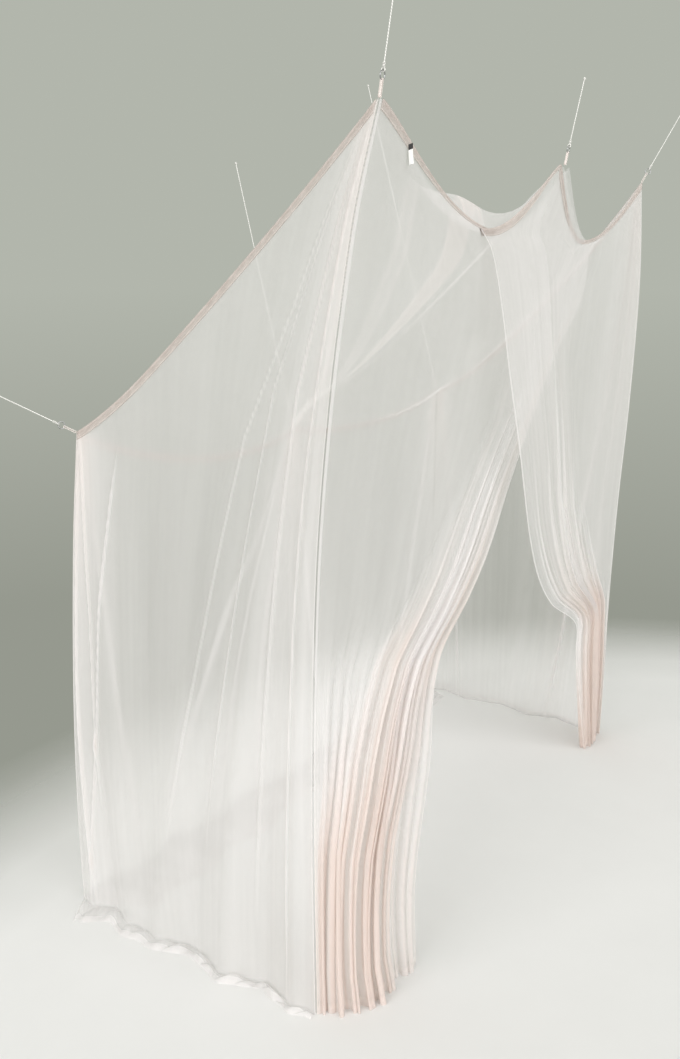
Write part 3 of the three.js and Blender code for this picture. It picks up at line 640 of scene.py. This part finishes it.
def flap_surface(flap, s, v, folded=True):
    """Points of a gathered flap: its cloth crowds into a bundle, with pleats that deepen down."""
    top = top_side(["right_foot", "right_head"], mix(flap["place"][0], flap["place"][1], s))
    top[..., 2] -= TAPE["below"]
    top[..., 0] += flap["outside"]
    z = np.maximum(top[..., 2] * (1 - v), 0)
    start, end = upright(flap["start"], z), upright(flap["end"], z)
    chord = end - start
    share, slope = gathered_place(flap, s, v)
    from_top = top[..., :2] - edge_plan(flap, top[..., 2], s)
    plan = start + chord * share[..., None] + from_top * ((1 - v) ** 2)[..., None]
    length = length_of(chord)
    across = np.stack([chord[..., 1], -chord[..., 0]], -1) / length[..., None]
    shift = flap["belly"] * np.sin(math.pi * s) * v * v
    lean = np.zeros_like(s)
    if folded:
        packed = clamp01(slope * length / flap["cut"])
        slack = np.sqrt(1 - packed * packed) * ease(v * 1.35)
        uneven = (0.78 + 0.28 * np.sin(TURN * 2.3 * s + 1.7 * v + flap["seed"])
                  + 0.22 * np.sin(TURN * 5.9 * s - 2.1 * v))
        wander = (0.50 * np.sin(9 * s) + 0.22 * np.sin(23 * s)
                  + 0.18 * np.sin(TURN * (4.9 * s + 0.5 * v)) + 0.30 * v * np.sin(7 * s))
        phase = TURN * (flap["waves"] * s + wander)
        fade = off_rims(s, 20)
        depth = flap["cut"] / flap["waves"] / 4 * slack ** 2 * uneven * fade
        loose = TURN * (0.61 * flap["waves"] * s + 0.4 * np.sin(13 * s + 2 * v) - 0.5 * v)
        shift = shift + depth * (0.50 * np.sin(phase) + 0.34 * np.sin(loose))
        shift = shift + 0.014 * slack * fade * np.sin(TURN * (6.3 * s + 0.3 * v))
        small = ripples(s, v, flap["seed"], 30, 80, 14)
        shift = shift + 0.0028 * small * ease(v * 3) * (0.10 + 0.90 * slack ** 2) * fade
        lean = -0.30 * depth * np.sin(2 * phase) * ease(v * 2)
    plan = plan + across * shift[..., None]
    plan = plan + chord / length[..., None] * ((1 - 2 * s) * SEAM_INSET + lean)[..., None]
    return np.concatenate([plan, z[..., None]], -1) + MIDDLE


def gathered_place(flap, s, v):
    """Where a flap's cloth lies along the chord, and how far that place moves with the cloth."""
    table = np.array(flap["bundle"])
    middle, half, crowd = (np.interp(v, table[:, 0], table[:, k]) for k in (1, 2, 3))
    x = np.linspace(0, 1, 241)
    rows = s if s.ndim > 1 else s.reshape(-1, 1)
    shape = rows.shape
    m, h, c = middle.reshape(shape), half.reshape(shape), crowd.reshape(shape)
    places, slopes = np.empty(shape), np.empty(shape)
    for k in range(shape[0]):
        cloth = (1 - c[k, 0]) * x + c[k, 0] * ease((x - m[k, 0] + h[k, 0]) / (2 * h[k, 0]))
        cloth = (cloth - cloth[0]) / (cloth[-1] - cloth[0])
        places[k] = np.interp(rows[k], cloth, x)
        slopes[k] = 1 / np.interp(places[k], x, np.gradient(cloth, x))
    return places.reshape(s.shape), slopes.reshape(s.shape)


def roof_surface(across, along, folded=True):
    """Points of the roof between the four bound sides, with creases from the hangings."""
    left = top_side(["left_foot", "left_head"], along * 2)
    right = top_side(["right_foot", "right_head"], along * 2)
    corner = {name: np.array(hanging["at"]) for name, hanging in HANGINGS.items()}
    a, b = across[..., None], along[..., None]
    foot_line = mix(corner["foot_left"], corner["foot_right"], a)
    head_line = mix(corner["head_left"], corner["head_right"], a)
    point = mix(left, right, a)
    point = point + (top_edge("foot", across) - foot_line) * (1 - b)
    point = point + (top_edge("head", across) - head_line) * b
    if folded:
        rims = off_rims(across, 9) * off_rims(along, 12)
        for along_from, across_from, along_to, across_to, height, width in ROOF_CREASES:
            place = clamp01((across - across_from) / (across_to - across_from))
            off = along - mix(along_from, along_to, place)
            point[..., 2] += height * rims * hump(off / width)
    half = np.where(along < 0.5, ROOF_RIM_LIFT["foot_half"], ROOF_RIM_LIFT["head_half"])
    beside = hump((across - ROOF_RIM_LIFT["across"]) / ROOF_RIM_LIFT["width"])
    near_rim = ease((1 - across) * 24)
    point[..., 2] += half * np.sin(TURN * along) ** 2 * beside * near_rim - ROOF["below"]
    point[..., 0] += mix(ROOF["inset"], -ROOF["inset_right"], across)
    point[..., 1] += mix(ROOF["inset"], -ROOF["inset"], along)
    return point + MIDDLE


# ---------------- making and joining pieces

def link(name, mesh, finish, slot, *nodes):
    piece = new_object(name, mesh)
    mesh.materials.clear()
    mesh.materials.append(finish)
    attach(piece, "root")
    if nodes:
        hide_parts(*nodes)
    return piece


def grid_of(rows, columns):
    """The pairs of every row value with every column value."""
    return np.stack(np.meshgrid(rows, columns, indexing="ij"), -1)


def quads(grid):
    a, b, c, d = grid[:-1, :-1], grid[:-1, 1:], grid[1:, 1:], grid[1:, :-1]
    return np.stack([a, b, c, d], -1).reshape(-1, 4)


def cloth_mesh(name, points, faces, flat, corners):
    """A smooth mesh, and the flat cloth places of its faces' corners as its UV map."""
    mesh = bpy.data.meshes.new(name)
    mesh.from_pydata(points.reshape(-1, 3).tolist(), [], faces)
    layer = mesh.uv_layers.new(name="cloth")
    layer.data.foreach_set("uv", flat.reshape(-1, 2)[corners].astype(np.float32).reshape(-1))
    mesh.polygons.foreach_set("use_smooth", [len(face) == 4 for face in faces])
    return mesh


def sheet_mesh(name, points, flat, **shares):
    """A mesh over a grid of points, with shares for its finish as attributes."""
    rows, columns = points.shape[:2]
    faces = quads(np.arange(rows * columns).reshape(rows, columns))[:, [0, 3, 2, 1]]
    mesh = cloth_mesh(name, points, faces.tolist(), flat, faces.reshape(-1))
    for key, values in shares.items():
        attribute = mesh.attributes.new(key, "FLOAT", "POINT")
        attribute.data.foreach_set("value", values.astype(np.float32).reshape(-1))
    mesh.update()
    return mesh


def tube_mesh(name, rings, flat, joined=False):
    """A closed skin over rings of points, with its ends capped, or joined to each other.
    flat has one column more than the rings, so that the pattern closes."""
    count, around = rings.shape[:2]
    index = np.arange(count * around).reshape(count, around)
    place = np.arange(count * (around + 1)).reshape(count, around + 1)
    index = np.pad(index, ((0, joined), (0, 1)), "wrap")
    place = np.pad(place, ((0, joined), (0, 0)), "edge")
    faces = quads(index).tolist()
    corners = quads(place).reshape(-1).tolist()
    if not joined:
        faces += [index[0, :-1].tolist(), index[-1, :-1][::-1].tolist()]
        corners += place[0, :-1].tolist() + place[-1, :-1][::-1].tolist()
    mesh = cloth_mesh(name, rings, faces, flat, corners)
    work = bmesh.new()
    work.from_mesh(mesh)
    bmesh.ops.recalc_face_normals(work, faces=work.faces)
    work.to_mesh(mesh)
    work.free()
    return mesh


# ---------------- hanging the net

def patch_area(points):
    down = np.gradient(points, axis=0)
    side = np.gradient(points, axis=1)
    return length_of(np.cross(side, down))


def fullness(points, base):
    """How much more cloth the folded sheet has at each place than the plain one."""
    return patch_area(points) / np.maximum(patch_area(base), 1e-12)


def fall_length(points):
    """The length of each line of points from its first point on."""
    return np.cumsum(length_of(np.diff(points, axis=0, prepend=points[:1])), 0)


def lines_with_hems(count, hem):
    """Places from 0 to 1 with close lines at both rims, so that a hem has a crisp border."""
    inner = np.linspace(hem * 1.15, 1 - hem * 1.15, count)
    return np.concatenate([[0, hem * 0.5, hem * 0.96], inner, [1 - hem * 0.96, 1 - hem * 0.5, 1]])


def seam_cover(across, tall, size, kind):
    """The cover that the seams along both side edges and the hem at the foot add."""
    at_side = np.minimum(across, size - across) < SEAM[kind]
    return MORE_COVER[kind] * at_side + MORE_COVER["hem"] * (tall[-1:] - tall < SEAM["hem"])


def hang_sheet(name, finish, points, flat, cover, crowd, inside_out=False):
    mesh = sheet_mesh(name + "_net", points, flat, cover=cover, crowd=crowd)
    if inside_out:
        mesh.flip_normals()
    piece = link(name + "_net", mesh, finish, "net", name)


def hang_wall(name, finish):
    wall = WALLS[name]
    size = wall["cut"]
    columns, fall, floor = wall["grid"]
    share = floor_share(wall)
    s = lines_with_hems(columns, SEAM["wall"] / size)
    v = np.concatenate([np.linspace(0, 1 - share, fall), np.linspace(1 - share, 1, floor + 1)[1:]])
    s, v = np.meshgrid(s, v)
    fall = clamp01(v / (1 - share))
    points = wall_surface(wall, s, v)
    place = flat_place(wall, s, fall)
    tall = fall_length(points)
    fanned = np.gradient(place, axis=1) / np.maximum(np.gradient(s, axis=1), 1e-9)
    cover = fullness(points, wall_surface(wall, s, v, folded=False)) * np.clip(fanned, 0.8, 3.0)
    crowd = np.clip(cover, 0, 3)
    for ridge, height in creases(wall, s, fall):
        cover = cover + MORE_COVER["metre_of_crease"] * height * ridge
    cover = np.clip(cover + seam_cover(s * size, tall, size, "wall"), 0.7, 5)
    hang_sheet(name, finish, points, np.stack([place * size, tall], -1), cover, crowd)


def hang_flap(name, finish):
    flap = FLAPS[name]
    size = flap["cut"]
    columns, rows = flap["grid"]
    s, v = np.meshgrid(lines_with_hems(columns, SEAM["flap"] / size), np.linspace(0, 1, rows))
    points = flap_surface(flap, s, v)
    base = flap_surface(flap, s, v, folded=False)
    tall = fall_length(points)
    run = length_of(np.gradient(base, axis=1)) / np.maximum(np.gradient(s, axis=1), 1e-9)
    crowd = np.clip(size / np.maximum(run, 0.1), 0.8, 6)
    cover = 1.0 + 0.24 * (fullness(points, base) - 1) + 0.20 * (crowd - 1)
    cover = np.clip(cover, 0.95, 2.2) + seam_cover(s * size, tall, size, "flap")
    # Crowd is lowered above 0.6 of the fall and raised towards the hem, so the lower flap is
    # painted darker and pinker: painted shade of the bundle's low end.
    crowd = crowd * (0.72 + 0.50 * ease((v - 0.60) / 0.25))
    hang_sheet(name, finish, points, np.stack([s * size, tall], -1), cover, crowd)


def hang_roof(finish):
    lines = [lines_with_hems(count, seam) for count, seam in zip(ROOF["grid"], ROOF["seam"])]
    across, along = np.meshgrid(*lines)
    points = roof_surface(across, along)
    cover = 0.95 * fullness(points, roof_surface(across, along, folded=False))
    for along_from, across_from, along_to, across_to, half, rim, body in ROOF_BANDS:
        place = (across - across_from) / (across_to - across_from)
        off = np.abs(along - mix(along_from, along_to, place)) - half * clamp01(0.25 + place)
        layers = body * ease(-off / 0.004) + rim * hump(off / 0.0035)
        cover = cover + off_rims(place, 12) * layers
    flat = np.stack([across * ROOF["cut"][0], along * ROOF["cut"][1]], -1)
    hang_sheet("roof", finish, points, flat, np.clip(cover, 0.8, 4), np.clip(cover, 0, 3),
               inside_out=True)


# ---------------- bindings

def right_cloth(t, row):
    """The cloth under the right binding: foot_flap alone, then head_flap outside it."""
    foot, head = FLAPS["foot_flap"], FLAPS["head_flap"]
    begins, ends = head["place"]
    s_head = clamp01((t - begins) / (ends - begins))
    on_head = flap_surface(head, s_head, 0 * t + row / head["rows"])
    on_foot = flap_surface(foot, clamp01(t / foot["place"][1]), 0 * t + row / foot["rows"])
    on_foot[..., 0] += FLAP_STEP * ease((t - begins) / STEP_RUN + 1)
    return np.where((t >= begins)[..., None], on_head, on_foot)


def wall_cloth(name):
    wall = WALLS[name]
    rows, sides = sum(wall["rows"]), len(wall["edges"])
    return lambda t, row: wall_surface(wall, t / sides, 0 * t + row / rows)


# Each binding's edges, the cloth under it, and the side of the cloth that faces out.
BINDINGS = dict(
    binding_foot=(["foot"], wall_cloth("foot_wall"), 1),
    binding_left=(["left_foot", "left_head"], wall_cloth("left_wall"), -1),
    binding_right=(["right_foot", "right_head"], right_cloth, 1),
    binding_head=(["head"], wall_cloth("head_wall"), -1),
)


def cloth_top(binding, t):
    """Where a binding lies: points on its cloth's top, the way down it and the way across it."""
    edges, cloth, _ = binding
    top = cloth(t, 0)
    down = unit(cloth(t, 1) - top)
    along = cloth(np.minimum(len(edges), t + 0.01), 0) - cloth(np.maximum(0, t - 0.01), 0)
    return top, down, unit(np.cross(down, along))


def sew_binding(name, finish):
    """A strip of tape folded over the cloth's top rim, a little puckered by its stitches."""
    binding = BINDINGS[name]
    edges, _, facing = binding
    sides = len(edges)
    ends = top_side(edges, np.array([0.0, sides]))
    trim = TAPE["end_gap"] / length_of(ends[1] - ends[0])
    t = np.linspace(trim, 1 - trim, TAPE["rows"] * sides) * sides
    top, down, across = cloth_top(binding, t)
    before = top_side(edges, np.maximum(0, t - 0.02))
    after = top_side(edges, np.minimum(sides, t + 0.02))
    run = length_of((after - before)[..., :2])
    tape = TAPE["width"] * np.minimum(1.5, np.hypot(run, (after - before)[..., 2]) / run)
    cover = (CLOTH + TAPE["thickness"]) / 2 + TAPE["clear"]
    length = fall_length(top)
    rng = np.random.default_rng(21)
    pucker = 0.0003 * np.sin(length * TURN / 0.012 + rng.random())
    rings = []
    for share, lift in TAPE_PROFILE:
        fall = -TAPE["below"] + share * (tape + TAPE["below"])
        out = (cover + (lift - 0.5) * TAPE["thickness"] + pucker * (lift > 0.2)) * facing
        rings.append(top + down * fall[..., None] + across * out[..., None])
    rise = np.array([share * TAPE["width"] for share, _ in TAPE_PROFILE] + [0.0])
    mesh = tube_mesh(name + "_tape", np.stack(rings, 1), grid_of(length, rise))
    link(name + "_tape", mesh, finish, "tape", name)


# ---------------- loops, rings, ties and cords

def hanging_frame(hanging):
    """The matrix of a hanging: y runs along its pull, and z across the tape's width."""
    pull = Vector(hanging["pull"]).normalized()
    if math.hypot(pull.x, pull.y) < 0.2:
        width = (Vector((1, 0, 0)) - pull * pull.x).normalized()
    else:
        width = Vector((-pull.y, pull.x, 0)).normalized()
    face = pull.cross(width)
    turn = Matrix((face, pull, width)).transposed().to_4x4()
    return Matrix.Translation(Vector(hanging["at"]) + Vector(MIDDLE)) @ turn


def heights(hanging):
    """Heights along the pull of the ring, the tie and the cord's start."""
    top = hanging["seat"] + LOOP["length"] - LOOP["outer_width"] / 2
    ring = top - LOOP["slack"] + RING["radius"]
    tie = ring + RING["radius"] + TIE["radius"] - TIE["cord"] - RING["wire"] - GAP
    return ring, tie, tie + TIE["radius"] + TIE["cord"] + GAP


def rope_mesh(name, start, end):
    """A twisted rope between two points, whose strands bulge from a round core, and its path."""
    way = end - start
    length = way.length
    way.normalize()
    side = way.orthogonal().normalized()
    other = np.array(way.cross(side))
    start, way, side = np.array(start), np.array(way), np.array(side)
    around = ROPE["around"]
    along = np.linspace(0, length, max(12, int(length / ROPE["row"])))
    angle = np.linspace(0, TURN, around, endpoint=False)
    wound = angle[None, :] - along[:, None] / ROPE["lay"] * TURN
    r = CORD_RADIUS * (0.80 + 0.20 * np.abs(np.cos(wound * ROPE["strands"] / 2)))
    x, y = (r * np.cos(angle))[..., None], (r * np.sin(angle))[..., None]
    rings = start + along[:, None, None] * way + x * side + y * other
    turn = np.linspace(0, TURN * CORD_RADIUS, around + 1)
    path = [list(start + k / ROPE["path"] * length * way) for k in range(ROPE["path"] + 1)]
    return tube_mesh(name, rings, grid_of(along, turn)[..., ::-1]), path


def wound_mesh(name, centre_line, radius):
    """A thin cord that follows a list of points."""
    curve = bpy.data.curves.new(name, "CURVE")
    curve.dimensions = "3D"
    spline = curve.splines.new("POLY")
    spline.points.add(len(centre_line) - 1)
    for point, place in zip(spline.points, centre_line):
        point.co = (*place, 1)
    curve.bevel_depth = radius
    curve.bevel_resolution = 2
    curve.use_fill_caps = True
    shape = new_object(name, curve)
    bpy.context.view_layer.update()
    mesh = bpy.data.meshes.new_from_object(shape)
    bpy.data.objects.remove(shape)
    mesh.name = name
    uv = mesh.uv_layers.get("cloth") or mesh.uv_layers.new(name="cloth")
    for corner in mesh.loops:
        place = mesh.vertices[corner.vertex_index].co
        uv.data[corner.index].uv = (place.x, place.y)
    mesh.polygons.foreach_set("use_smooth", [True] * len(mesh.polygons))
    return mesh


def hang_cord(name, finish):
    """A cord from its ring to its far knot: the noose on the ring, the wraps above it, the rope."""
    hanging = HANGINGS[name]
    matrix = hanging_frame(hanging)
    _, tie, begin = heights(hanging)
    far = begin + hanging["reach"]
    start = matrix @ Vector((0, begin, 0))
    mesh, path = rope_mesh("hanging_cord_" + name, start, matrix @ Vector((0, far, 0)))
    cord = link("hanging_cord_" + name, mesh, finish, "cord", "cord_" + name)

    def wind(kind, points, radius, *nodes):
        made = wound_mesh(kind + name, points, radius)
        made.transform(matrix)
        return link(kind + name, made, finish, "cord", *nodes)

    turn = np.linspace(0, TURN, 25)
    noose = [(0, tie - TIE["radius"] * math.cos(a), TIE["radius"] * math.sin(a)) for a in turn]
    coils = [(WRAP["radius"] * math.cos(a), begin - WRAP["below"] + a * WRAP["rise"],
              WRAP["radius"] * math.sin(a))
             for a in np.linspace(0, TURN * WRAP["turns"], 64)]
    wide, tall = KNOT["radius"] - KNOT["cord"], KNOT["length"] / 2 - KNOT["cord"]
    knot = []
    for a in np.linspace(0, TURN, 80):
        reach = wide * (0.55 + 0.45 * math.cos(a * 3))
        height = far + GAP + KNOT["length"] / 2 + tall * math.sin(a * 3) * 0.95
        knot.append((reach * math.sin(a * 2), height, reach * math.cos(a * 2)))
    pieces = [wind("cord_noose_", noose, TIE["cord"] * 0.9, "tie_" + name),
              wind("cord_wrap_", coils, WRAP["cord"]),
              wind("stopper_knot_", knot, KNOT["cord"], "cord_knot_" + name)]


def ring_mesh():
    """A steel ring bent from wire, with a small weld where its ends meet."""
    bpy.ops.object.select_all(action="DESELECT")
    bpy.ops.mesh.primitive_torus_add(
        major_radius=RING["radius"], minor_radius=RING["wire"],
        major_segments=RING["segments"][0], minor_segments=RING["segments"][1])
    made = bpy.context.active_object
    bpy.ops.object.mode_set(mode="EDIT")
    bpy.ops.mesh.select_all(action="DESELECT")
    bpy.ops.object.mode_set(mode="OBJECT")
    for vertex in made.data.vertices:
        vertex.select = abs(math.atan2(vertex.co.y, vertex.co.x)) < RING["weld_half"]
    bpy.ops.object.mode_set(mode="EDIT")
    bpy.ops.transform.shrink_fatten(value=RING["weld"])
    bpy.ops.object.mode_set(mode="OBJECT")
    bpy.ops.object.shade_smooth()
    mesh = made.data.copy()
    mesh.name = "ring"
    bpy.data.objects.remove(made)
    return mesh


def fit_rings(finish):
    ring = ring_mesh()
    for name, hanging in HANGINGS.items():
        mesh = ring.copy()
        height = heights(hanging)[0]
        mesh.transform(hanging_frame(hanging) @ Matrix.Translation((0, height, 0)))
        link("steel_ring_" + name, mesh, finish, "steel", "ring_" + name)


def loop_points():
    """The middle line of a tape loop, seen from its edge: two strands that narrow at the waist."""
    half = LOOP["outer_width"] / 2
    mid = half - LOOP["wall"] / 2
    low, high = half, LOOP["length"] - half

    def bend(height, begins):
        return [(mid * math.cos(a), height + mid * math.sin(a))
                for a in np.linspace(begins, begins + math.pi, 13)]

    def strand(side, begins, ends):
        return [(side * mid * (1 - LOOP["waist"] * math.sin(math.pi * k)), mix(begins, ends, k))
                for k in np.linspace(0, 1, 12)[1:-1]]

    down, up = strand(-1, high, low), strand(1, low, high)
    return np.array(bend(high, 0) + down + bend(low, math.pi) + up)


def sew_loop(name, finish):
    """A folded tape loop through the ring: both strands lie close, and its rims are rounded."""
    hanging = HANGINGS[name]
    line = loop_points()
    after = np.roll(line, -1, 0) - np.roll(line, 1, 0)
    normal = unit(np.stack([after[:, 1], -after[:, 0]], -1))
    w, t = LOOP["width"] / 2, LOOP["wall"] / 2
    rings = []
    for across, lift in LOOP_PROFILE:
        x, y = (line + normal * (lift * t)).T
        rings.append(np.stack([x, y + hanging["seat"], 0 * x + across * w], -1))
    side = np.array(LOOP_WEAVE + LOOP_WEAVE[::-1] + LOOP_WEAVE[:1])
    mesh = tube_mesh("hanging_loop_" + name, np.stack(rings, 1), grid_of(fall_length(line), side),
                     joined=True)
    mesh.transform(hanging_frame(hanging))
    link("hanging_loop_" + name, mesh, finish, "tape", "tape_loop_" + name)


# ---------------- label and floor

def sew_label(finish):
    """A bare woven label, sewn on by its top fold and curling a little at its free end."""
    spot = cloth_top(BINDINGS["binding_right"], np.array([LABEL["at"]]))
    top, down, across = (a[0] for a in spot)
    side = np.cross(across, down)
    lift = CLOTH / 2 + TAPE["clear"] + TAPE["thickness"] + GAP
    k, w = np.meshgrid(np.linspace(0, 1, 25), np.linspace(-0.5, 0.5, 13), indexing="ij")
    fall = LABEL["below"] + k * LABEL["length"]
    curl = lift + 0.0005 + LABEL["curl"] * k ** 2 * (1 - 0.5 * np.cos(TURN * w)) * 0.8
    points = (top + down * fall[..., None] + side * (w * LABEL["width"])[..., None]
              + across * curl[..., None])
    flat = np.stack([(w + 0.5) * LABEL["width"], k * LABEL["length"]], -1)
    mesh = sheet_mesh("sewn_label", points, flat)
    piece = link("sewn_label", mesh, finish, "label", "label")
    thick = piece.modifiers.new("thickness", "SOLIDIFY")
    thick.thickness = LABEL["thickness"]
    thick.offset = 0


def lay_floor(finish):
    """A pale floor whose rim fades out softly."""
    turn = np.linspace(0, TURN, FLOOR["sides"], endpoint=False)
    share, fade = np.array(FLOOR_FADE).T[..., None]
    power = FLOOR["squareness"]
    ways = np.array([np.cos(turn), np.sin(turn)])
    reach = FLOOR["reach"] * (np.abs(ways) ** power).sum(0) ** (-1 / power)
    x, y = (share * (reach * way) * stretch for way, stretch in zip(ways, FLOOR["stretch"]))
    tilt = math.radians(FLOOR["turn"])
    points = np.stack([FLOOR["centre"][0] + x * math.cos(tilt) - y * math.sin(tilt),
                       FLOOR["centre"][1] + x * math.sin(tilt) + y * math.cos(tilt),
                       0 * x - FLOOR["below"]], -1)
    points = np.concatenate([points, points[:, :1]], 1)
    mesh = sheet_mesh("studio_floor", points, points[..., :2], fade=fade + 0 * points[..., 0])
    mesh.materials.append(finish)
    floor = new_object("studio_floor", mesh)


# ---------------- the scene

place_camera()
paint_world()
bpy.context.scene.view_settings.view_transform = "Standard"
bpy.context.scene.cycles.transparent_max_bounces = CLEAR_LAYERS

net, cord, steel = net_finish(), cord_finish(), steel_finish()
tape, binding_tape = tape_finish("cotton_tape", False), tape_finish("cotton_binding", True)
for name in HANGINGS:
    hang_cord(name, cord)
    sew_loop(name, tape)
fit_rings(steel)

hang_roof(net)
for name in WALLS:
    hang_wall(name, net)
for name in FLAPS:
    hang_flap(name, net)
for name in BINDINGS:
    sew_binding(name, binding_tape)
sew_label(label_finish())

lay_floor(floor_finish())
for name, sun in SUNS.items():
    shine_soft(name, *sun)

bpy.context.view_layer.update()
